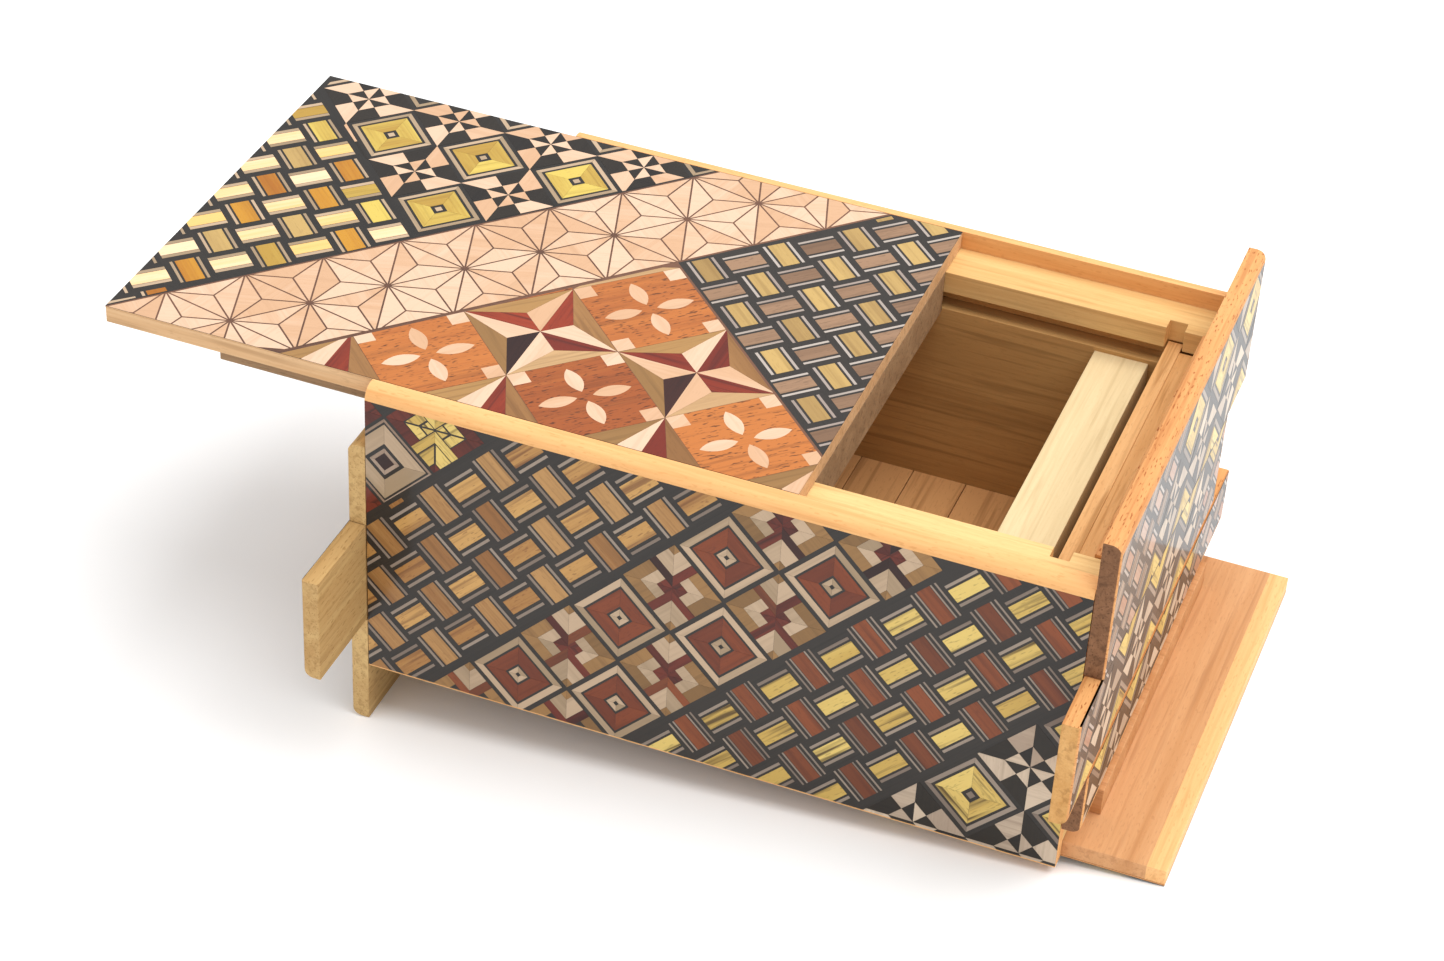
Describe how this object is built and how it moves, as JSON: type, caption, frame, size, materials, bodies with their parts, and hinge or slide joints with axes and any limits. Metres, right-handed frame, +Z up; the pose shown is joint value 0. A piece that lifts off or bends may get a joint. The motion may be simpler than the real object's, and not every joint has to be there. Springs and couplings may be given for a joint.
{
  "type": "wooden puzzle box",
  "caption": "Marquetry-covered wooden trick box whose end panels, keys, lid and bottom slide in turn to open a hidden compartment.",
  "frame": {"origin": "bottom centre of the opened box's bounding box, on the surface that the dropped left end panel stands on", "axes": "+X along the box's length towards the right end panel, +Y to the back, +Z up, square to the carcass"},
  "size_m": [0.2276, 0.129, 0.0948],
  "materials": {
    "marquetry_veneer": "satin varnished geometric wood marquetry sheet",
    "carcass_wood": "sanded light hardwood, satin varnish",
    "rail_wood": "planed pale straight-grained wood",
    "pale_wood": "planed cream-coloured wood",
    "inner_wood": "planed olive-brown wood, unvarnished",
    "floor_wood": "planed reddish-brown wood",
    "lid_wood": "planed light wood, end grain showing",
    "bottom_wood": "planed orange-tan wood",
    "end_wood": "sanded orange-tan wood with fine pores"
  },
  "bodies": {
    "carcass": {"front_board": "carcass_wood", "front_veneer": "marquetry_veneer", "front_upper_rail": "rail_wood", "front_upper_groove_strip": "inner_wood", "front_inner_wall": "inner_wood", "front_lower_groove_strip": "inner_wood", "front_lower_rail": "rail_wood", "back_board": "carcass_wood", "back_veneer": "marquetry_veneer", "back_upper_rail": "rail_wood", "back_upper_groove_strip": "inner_wood", "back_inner_wall": "inner_wood", "back_lower_groove_strip": "inner_wood", "back_lower_rail": "rail_wood", "left_inner_end_wall": "pale_wood", "right_inner_end_wall": "pale_wood", "floor_slats": "floor_wood", "left_lock_tooth": "end_wood", "right_lock_tooth": "end_wood"},
    "lid": {"lid_board": "lid_wood", "lid_veneer": "marquetry_veneer", "lid_block": "lid_wood", "lid_front_runner": "lid_wood", "lid_back_runner": "lid_wood"},
    "bottom": {"bottom_board": "bottom_wood", "bottom_veneer": "marquetry_veneer", "bottom_block": "bottom_wood", "bottom_front_runner": "bottom_wood", "bottom_back_runner": "bottom_wood"},
    "left_end": {"left_upper_strip": "end_wood", "left_upper_veneer": "marquetry_veneer", "left_lower_strip": "end_wood", "left_lower_veneer": "marquetry_veneer", "left_upper_backing": "end_wood", "left_lower_backing": "end_wood", "left_upper_spacer": "end_wood", "left_lower_spacer": "end_wood", "left_tongue": "end_wood"},
    "left_key": {"left_key_strip": "end_wood", "left_key_veneer": "marquetry_veneer", "left_key_catch": "end_wood", "left_key_neck": "end_wood"},
    "right_end": {"right_upper_strip": "end_wood", "right_upper_veneer": "marquetry_veneer", "right_lower_strip": "end_wood", "right_lower_veneer": "marquetry_veneer", "right_upper_backing": "end_wood", "right_lower_backing": "end_wood", "right_upper_spacer": "end_wood", "right_lower_spacer": "end_wood", "right_tongue": "end_wood"},
    "right_key": {"right_key_strip": "end_wood", "right_key_veneer": "marquetry_veneer", "right_key_catch": "end_wood", "right_key_neck": "end_wood"}
  },
  "joints": [
    {"name": "lid_slide", "type": "slide", "parent": "carcass", "child": "lid", "axis": [1, 0, 0], "range_m": [-0.014, 0.0475]},
    {"name": "bottom_slide", "type": "slide", "parent": "carcass", "child": "bottom", "axis": [1, 0, 0], "range_m": [-0.0096, 0.018]},
    {"name": "left_end_slide", "type": "slide", "parent": "carcass", "child": "left_end", "axis": [0, 0, 1], "range_m": [-0.006, 0]},
    {"name": "left_key_slide", "type": "slide", "parent": "left_end", "child": "left_key", "axis": [0, 1, 0], "range_m": [-0.003, 0.021]},
    {"name": "right_end_slide", "type": "slide", "parent": "carcass", "child": "right_end", "axis": [0, 0, 1], "range_m": [0, 0.009]},
    {"name": "right_key_slide", "type": "slide", "parent": "right_end", "child": "right_key", "axis": [0, 1, 0], "range_m": [-0.009, 0.0147]}
  ]
}
